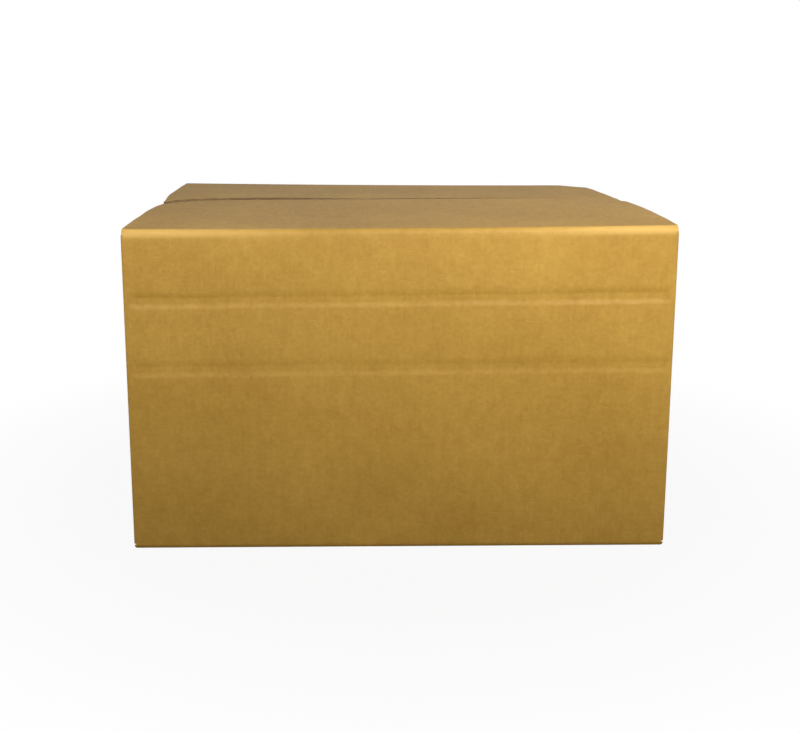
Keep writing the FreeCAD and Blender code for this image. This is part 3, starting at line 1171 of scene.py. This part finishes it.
def new_group(name: str, inputs: dict[str, float], outputs: Sequence[str]) -> NodeBench:
    """Starts a shader node group that reads a place and gives plain values.

    Args:
        name: the group's name.
        inputs: name and starting value of each input next to the place.
        outputs: name of each output.
    """
    tree = bpy.data.node_groups.new(name, "ShaderNodeTree")
    tree.interface.new_socket("Place", in_out="INPUT", socket_type="NodeSocketVector")
    for label, value in inputs.items():
        socket = tree.interface.new_socket(label, in_out="INPUT", socket_type="NodeSocketFloat")
        socket.default_value = value
    for label in outputs:
        tree.interface.new_socket(label, in_out="OUTPUT", socket_type="NodeSocketFloat")
    return NodeBench(tree)


def kraft_group() -> bpy.types.NodeTree:
    """Builds the group that gives kraft paper its cloudy tone, its flecks, its fibres and its scuffs."""
    bench = new_group("kraft paper", {"Clouds": 1.0, "Flecks": 1.0}, ("Tone", "Fleck", "Fibre", "Scuff"))
    given = bench.add("NodeGroupInput")
    place = given.outputs["Place"]
    broad = bench.cloud(place, 7.0, 2.0)
    middle = bench.cloud(bench.stretch(place, (1.0, 0.7, 1.0)), 75.0, 3.0, 0.6)
    fine = bench.cloud(bench.stretch(place, (0.9, 1.0, 1.0)), 210.0, 2.0, 0.55)
    fibre = bench.cloud(bench.stretch(place, (0.4, 1.0, 1.0)), 1500.0, 2.0, 0.6)
    tone = bench.weighed(broad, 0.7)
    for grain, weight in ((middle, 0.7), (fine, 0.55), (fibre, 0.12)):
        tone = bench.math("ADD", tone, bench.weighed(grain, weight))
    tone = bench.math("MULTIPLY", tone, given.outputs["Clouds"])
    tone = bench.math("ADD", tone, 0.5)
    specks = bench.add("ShaderNodeTexVoronoi", feature="F1")
    bench.join(bench.stretch(place, (0.55, 1.3, 1.0)), specks.inputs["Vector"])
    specks.inputs["Scale"].default_value = 210.0
    near = bench.span(specks.outputs["Distance"], 0.02, 0.17, 1.0, 0.0)
    patches = bench.span(bench.cloud(place, 130.0, 2.0), 0.54, 0.66)
    fleck = bench.math("MULTIPLY", bench.math("MULTIPLY", near, patches), given.outputs["Flecks"])
    level = bench.span(bench.cloud(bench.stretch(place, (48.0, 170.0, 1.0)), 1.0, 1.0), 0.62, 0.8)
    upright = bench.span(bench.cloud(bench.stretch(place, (200.0, 70.0, 1.0)), 1.0, 1.0), 0.62, 0.8)
    woven = bench.math("ADD", bench.math("MULTIPLY", fine, 0.6), bench.math("MULTIPLY", fibre, 0.4))
    result = bench.add("NodeGroupOutput")
    bench.join(tone, result.inputs["Tone"])
    bench.join(fleck, result.inputs["Fleck"])
    bench.join(woven, result.inputs["Fibre"])
    bench.join(bench.math("MAXIMUM", level, upright), result.inputs["Scuff"])
    return bench.tree


def flute_group() -> bpy.types.NodeTree:
    """Builds the group that shows the flutes faintly through a liner, as long soft lines."""
    bench = new_group("flutes through the liner", {"Pitch": 6.4 * MM}, ("Line", "Streak"))
    given = bench.add("NodeGroupInput")
    place = given.outputs["Place"]
    parts = bench.add("ShaderNodeSeparateXYZ")
    bench.join(place, parts.inputs[0])
    drift = bench.cloud(bench.stretch(place, (1.0, 0.25, 1.0)), 22.0, 2.0)
    wander = bench.weighed(drift, 0.5)
    turn = bench.math("DIVIDE", parts.outputs[0], given.outputs["Pitch"])
    wave = bench.math("SINE", bench.math("MULTIPLY", bench.math("ADD", turn, wander), 2 * math.pi))
    line = bench.math("ADD", bench.math("MULTIPLY", wave, 0.5), 0.5)
    streak = bench.cloud(bench.stretch(place, (1.0, 0.035, 1.0)), 150.0, 3.0, 0.6)
    result = bench.add("NodeGroupOutput")
    bench.join(line, result.inputs["Line"])
    bench.join(streak, result.inputs["Streak"])
    return bench.tree


def call_group(bench: NodeBench, tree: bpy.types.NodeTree, **values: object) -> bpy.types.Node:
    """Places a group in a material and feeds its inputs by name."""
    node = bench.add("ShaderNodeGroup", node_tree=tree)
    for name, value in values.items():
        bench.feed(value, node.inputs[name])
    return node


def start_material(name: str, roughness: float) -> tuple[bpy.types.Material, NodeBench, bpy.types.Node]:
    """Starts a material with one Principled shader.

    Args:
        name: the material's name.
        roughness: the shader's constant roughness.

    Returns:
        The material, its node bench and its shader.
    """
    material = bpy.data.materials.new(name)
    material.use_nodes = True
    bench = NodeBench(material.node_tree)
    shader = material.node_tree.nodes["Principled BSDF"]
    shader.inputs["Roughness"].default_value = roughness
    return material, bench, shader


@dataclass(frozen=True)
class LinerFinish:
    """Brown kraft liner: cloudy, faintly streaked along the flutes, with dark flecks, pressed scuffs and a
    painted highlight on the top folds.

    Attributes:
        dark: the paper's darkest tone.
        light: its lightest tone.
        fleck: the flecks' colour.
        fold_highlight: the paler colour of the painted highlight on the top folds.
        roughness: the roughness that the fibres vary.
        bump: how strongly fibres, flutes and scuffs stand out.
    """

    dark: tuple[float, float, float, float] = (0.36, 0.197, 0.0225, 1.0)
    light: tuple[float, float, float, float] = (0.58, 0.352, 0.0615, 1.0)
    fleck: tuple[float, float, float, float] = (0.24, 0.13, 0.035, 1.0)
    fold_highlight: tuple[float, float, float, float] = (0.67, 0.42, 0.10, 1.0)
    roughness: float = 0.62
    bump: float = 0.3

    def make(
        self,
        kraft: bpy.types.NodeTree,
        flutes: bpy.types.NodeTree,
        pitch: float,
        fold: tuple[float, float],
        middle: float,
    ) -> bpy.types.Material:
        """Makes the material from the shared groups.

        Args:
            kraft: the paper group.
            flutes: the group of the flutes' lines.
            pitch: the outer flutes' pitch.
            fold: where the top folds start and end, up the blank.
            middle: the middle of the front wall, along the blank.
        """
        material, bench, shader = start_material("kraft liner", self.roughness)
        place = bench.add("ShaderNodeUVMap", uv_map="blank").outputs[0]
        paper = call_group(bench, kraft, Place=place, Clouds=1.0, Flecks=1.0)
        lines = call_group(bench, flutes, Place=place, Pitch=pitch)
        streak = bench.weighed(lines.outputs["Streak"], 0.08)
        ridge = bench.weighed(lines.outputs["Line"], 0.02)
        tone = bench.math("ADD", paper.outputs["Tone"], bench.math("ADD", streak, ridge))
        colour = bench.mix(tone, self.dark, self.light)
        # Painted highlight: a paler band on the top folds, strongest towards their ends, stands in for the
        # light that the folds catch.
        colour = bench.mix(self.rub(bench, place, fold, middle), colour, self.fold_highlight)
        colour = bench.mix(bench.math("MULTIPLY", paper.outputs["Fleck"], 0.4), colour, self.fleck)
        bench.join(colour, shader.inputs["Base Color"])
        bench.join(bench.span(paper.outputs["Fibre"], 0.2, 0.8, 0.66, 0.5), shader.inputs["Roughness"])
        relief = bench.math("MULTIPLY", paper.outputs["Fibre"], 0.25)
        relief = bench.math("ADD", relief, bench.math("MULTIPLY", lines.outputs["Line"], 0.15))
        relief = bench.math("ADD", relief, bench.math("MULTIPLY", lines.outputs["Streak"], 0.15))
        relief = bench.math("SUBTRACT", relief, bench.math("MULTIPLY", paper.outputs["Scuff"], 1.5))
        bench.bump(relief, self.bump, 0.4 * MM, shader)
        shader.inputs["Specular IOR Level"].default_value = 0.3
        return material

    @staticmethod
    def rub(
        bench: NodeBench, place: bpy.types.NodeSocket, fold: tuple[float, float], middle: float
    ) -> bpy.types.NodeSocket:
        """Returns the share of the painted highlight on the top folds, most near the corners."""
        parts = bench.add("ShaderNodeSeparateXYZ")
        bench.join(place, parts.inputs[0])
        rise = bench.span(parts.outputs[1], fold[0] - 5 * MM, fold[0] + 1 * MM)
        stop = bench.span(parts.outputs[1], fold[1] - 2.2 * MM, fold[1] - 0.8 * MM, 1.0, 0.0)
        aside = bench.math("ABSOLUTE", bench.math("SUBTRACT", parts.outputs[0], middle))
        ends = bench.span(aside, 0.08, 0.27, 0.15, 0.9)
        return bench.math("MULTIPLY", bench.math("MULTIPLY", rise, stop), ends)


@dataclass(frozen=True)
class CutEdgeAndShadeFinish:
    """Raw cut paper with torn fibres, darker and duller than the liner's face: the dark tones are partly
    the cut paper's own and partly painted shade of the flute hollows and of the seam between the top flaps.
    """

    dark: tuple[float, float, float, float] = (0.10, 0.060, 0.022, 1.0)
    light: tuple[float, float, float, float] = (0.25, 0.155, 0.062, 1.0)
    roughness: float = 0.85

    def make(self, kraft: bpy.types.NodeTree) -> bpy.types.Material:
        """Makes the material from the shared paper group, on object coordinates."""
        material, bench, shader = start_material("cut board edge", self.roughness)
        place = bench.add("ShaderNodeTexCoord").outputs["Object"]
        paper = call_group(bench, kraft, Place=place, Clouds=1.5, Flecks=1.0)
        # Painted shade: these dark tones also stand in for the shade in the flute hollows and in the seam
        # between the top flaps.
        colour = bench.mix(paper.outputs["Tone"], self.dark, self.light)
        bench.join(colour, shader.inputs["Base Color"])
        bench.bump(paper.outputs["Fibre"], 0.4, 0.3 * MM, shader)
        return material


@dataclass(frozen=True)
class TapeFinish:
    """Clear packing film with trapped air and long stretch lines."""

    colour: tuple[float, float, float, float] = (0.60, 0.42, 0.20, 1.0)
    airy: tuple[float, float, float, float] = (0.72, 0.58, 0.38, 1.0)
    roughness: float = 0.22

    def make(self, kraft: bpy.types.NodeTree) -> bpy.types.Material:
        """Makes the material."""
        material, bench, shader = start_material("clear tape", self.roughness)
        place = bench.add("ShaderNodeUVMap", uv_map="blank").outputs[0]
        air = bench.span(bench.cloud(bench.stretch(place, (0.3, 1.0, 1.0)), 260.0, 3.0), 0.5, 0.68)
        bench.join(bench.mix(air, self.colour, self.airy), shader.inputs["Base Color"])
        bench.join(bench.span(air, 0.0, 1.0, 0.42, 0.68), shader.inputs["Alpha"])
        paper = call_group(bench, kraft, Place=place, Clouds=1.0, Flecks=0.0)
        bench.bump(paper.outputs["Tone"], 0.15, 0.1 * MM, shader)
        shader.inputs["Coat Weight"].default_value = 0.3
        return material


@dataclass(frozen=True)
class FloorFinish:
    """A pale floor that the camera sees as white, with the carton's shadow kept near the carton.

    Attributes:
        colour: the colour that lights the carton and shows in its shadow.
        grain: how dark the grain's darkest spots are.
        near_white: share of plain white next to the carton.
        near: distance from the middle at which that share starts to rise.
        far: distance at which the floor is all white.
    """

    colour: tuple[float, float, float, float] = (0.36, 0.35, 0.33, 1.0)
    grain: float = 0.98
    near_white: float = 0.93
    near: float = 0.36
    far: float = 0.80

    def make(self) -> bpy.types.Material:
        """Makes the material."""
        material, bench, shader = start_material("pale floor", 0.9)
        place = bench.add("ShaderNodeTexCoord").outputs["Object"]
        spots = bench.span(bench.cloud(place, 30.0, 2.0), 0.3, 0.7)
        shade = bench.mix(spots, self.colour, tuple(self.grain * part for part in self.colour))
        bench.join(shade, shader.inputs["Base Color"])
        glow = bench.add("ShaderNodeEmission")
        glow.inputs["Strength"].default_value = 1.0
        distance = bench.add("ShaderNodeVectorMath", operation="LENGTH")
        bench.join(place, distance.inputs[0])
        white = bench.span(distance.outputs["Value"], self.near, self.far, self.near_white, 1.0)
        surface = bench.blend(bench.math("MULTIPLY", bench.seen(), white), shader, glow)
        bench.join(surface, material.node_tree.nodes["Material Output"].inputs["Surface"])
        return material


@dataclass(frozen=True)
class Lamp:
    """One soft rectangular lamp.

    Attributes:
        name: the lamp's name.
        place: where it hangs.
        target: where it points.
        size: its width and height.
        power: its power in watts.
        colour: its light's colour.
        spread: the angle of its beam in degrees.
    """

    name: str
    place: tuple[float, float, float]
    target: tuple[float, float, float]
    size: tuple[float, float]
    power: float
    colour: tuple[float, float, float]
    spread: float = 180.0

    def light(self) -> None:
        """Hangs the lamp and turns it to its target."""
        data = bpy.data.lights.new(self.name, "AREA")
        data.shape = "RECTANGLE"
        data.spread = math.radians(self.spread)
        data.size, data.size_y = self.size
        data.energy = self.power
        data.color = self.colour
        lamp = bpy.data.objects.new(self.name, data)
        lamp.location = self.place
        way = Vector(self.target) - Vector(self.place)
        lamp.rotation_euler = way.to_track_quat("-Z", "Y").to_euler()
        bpy.context.scene.collection.objects.link(lamp)


@dataclass(frozen=True)
class Studio:
    """The floor, the lamps, the world and the camera.

    Attributes:
        lamps: the lamps.
        world_colour: the colour of the soft light all round.
        world_strength: its strength.
        floor_size: half the floor's width.
        eye: where the camera stands.
        turn: the camera's yaw to the right, its pitch down and its roll, in degrees.
        focal: the focal length in pixels of the picture.
        centre: the pixel on the lens's axis.
    """

    lamps: tuple[Lamp, ...] = (
        Lamp("key", (0.1, -1.75, 0.85), (0.03, -0.26, 0.52), (2.4, 0.25), 3.6, (1.0, 0.96, 0.92), 50.0),
        Lamp("right", (0.75, -1.55, 1.30), (0.36, -0.26, 0.50), (0.5, 0.25), 1.0, (1.0, 0.96, 0.96), 36.0),
        Lamp("left", (-0.45, -0.62, 0.72), (-0.28, -0.26, 0.36), (0.3, 0.1), 1.15, (1.0, 0.97, 1.05)),
        Lamp("back", (0.25, 1.9, 1.5), (0.0, 0.0, 0.38), (2.4, 1.2), 6.1, (0.91, 1.0, 1.12)),
    )
    world_colour: tuple[float, float, float, float] = (0.97, 0.94, 1.0, 1.0)
    world_strength: float = 0.31
    floor_size: float = 12.0
    eye: tuple[float, float, float] = (-0.0532, -1.5049, 0.5468)
    turn: tuple[float, float, float] = (0.378, 11.315, -0.202)
    focal: float = 1129.2
    centre: tuple[float, float] = (360.0, 300.0)

    def lay_floor(self) -> None:
        """Lays the floor."""
        mesh = bmesh.new()
        bmesh.ops.create_grid(mesh, x_segments=1, y_segments=1, size=self.floor_size)
        data = bpy.data.meshes.new("floor")
        mesh.to_mesh(data)
        mesh.free()
        data.materials.append(FloorFinish().make())
        floor = bpy.data.objects.new("floor", data)
        bpy.context.scene.collection.objects.link(floor)

    def light(self) -> None:
        """Hangs the lamps and sets the world: soft light for the carton, plain white for what is seen."""
        for lamp in self.lamps:
            lamp.light()
        world = bpy.data.worlds.new("studio")
        world.use_nodes = True
        bpy.context.scene.world = world
        bench = NodeBench(world.node_tree)
        soft = world.node_tree.nodes["Background"]
        soft.inputs["Color"].default_value = self.world_colour
        soft.inputs["Strength"].default_value = self.world_strength
        white = bench.add("ShaderNodeBackground")
        white.inputs["Color"].default_value = (1.0, 1.0, 1.0, 1.0)
        white.inputs["Strength"].default_value = 1.0
        surface = bench.blend(bench.seen(), soft, white)
        bench.join(surface, world.node_tree.nodes["World Output"].inputs["Surface"])

    def place_camera(self) -> None:
        """Stands the camera where the photograph was taken from."""
        yaw, pitch, roll = (math.radians(angle) for angle in self.turn)
        ahead = Vector((math.sin(yaw) * math.cos(pitch), math.cos(yaw) * math.cos(pitch), -math.sin(pitch)))
        level = Vector((math.cos(yaw), -math.sin(yaw), 0.0))
        upright = level.cross(ahead)
        right = level * math.cos(roll) + upright * math.sin(roll)
        up = upright * math.cos(roll) - level * math.sin(roll)
        data = bpy.data.cameras.new("camera")
        data.sensor_width = 36.0
        data.lens = self.focal * data.sensor_width / IMAGE_WIDTH
        data.shift_x = (IMAGE_WIDTH / 2 - self.centre[0]) / IMAGE_WIDTH
        data.shift_y = -(IMAGE_HEIGHT / 2 - self.centre[1]) / IMAGE_WIDTH
        data.dof.use_dof = False
        camera = bpy.data.objects.new("camera", data)
        axes = Matrix((right, up, -ahead)).transposed().to_4x4()
        camera.matrix_world = Matrix.Translation(self.eye) @ axes
        bpy.context.scene.collection.objects.link(camera)
        bpy.context.scene.camera = camera


def dress(piece: bpy.types.Object, finishes: Sequence[bpy.types.Material]) -> None:
    """Gives a piece its materials."""
    for finish in finishes:
        piece.data.materials.append(finish)


def report(piece: bpy.types.Object) -> None:
    """Logs a finished piece."""
    piece.data.calc_loop_triangles()
    LOG.info("%s: %d triangles", piece.name, len(piece.data.loop_triangles))


def main() -> None:
    """Builds the carton piece by piece and reports each one."""
    logging.basicConfig(level=logging.INFO, format="%(message)s")
    bpy.context.scene.view_settings.view_transform = "Standard"
    studio = Studio()
    studio.place_camera()
    studio.lay_floor()
    studio.light()
    board, shape, relief = Board(), Shape.from_frame(), Relief()
    kraft, flutes = kraft_group(), flute_group()
    carton = CartonSheet(board, shape, relief)
    tangent = shape.fold_height - board.fold_radius
    middle = (carton.front_start + carton.front_end) / 2
    fold = (tangent, tangent + board.fold_run)
    liner = LinerFinish().make(kraft, flutes, board.fine_pitch, fold, middle)
    cut_edge_and_shade = CutEdgeAndShadeFinish().make(kraft)

    sheet = carton.build()
    dress(sheet, (liner, cut_edge_and_shade))
    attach(sheet, "carton")
    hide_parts("carton_body")
    report(sheet)

    front = Spring(end_swell=1.6 * MM, lip=0.8 * MM)
    back = Spring(catch=1.7 * MM, fall=4.5 * MM)
    flaps = (
        OpeningFlap(carton, Side.FRONT, front, "front_flap_sheet", "front_flap"),
        OpeningFlap(carton, Side.BACK, back, "back_flap_sheet", "back_flap"),
    )
    for flap, node in zip(flaps, ("top_front_flap", "top_back_flap")):
        piece = flap.build()
        dress(piece, (liner, cut_edge_and_shade))
        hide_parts(node)
        report(piece)

    tape = BottomTape(shape, carton).build()
    dress(tape, (TapeFinish().make(kraft),))
    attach(tape, "carton")
    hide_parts("bottom_tape")
    report(tape)


if __name__ == "__main__":
    main()
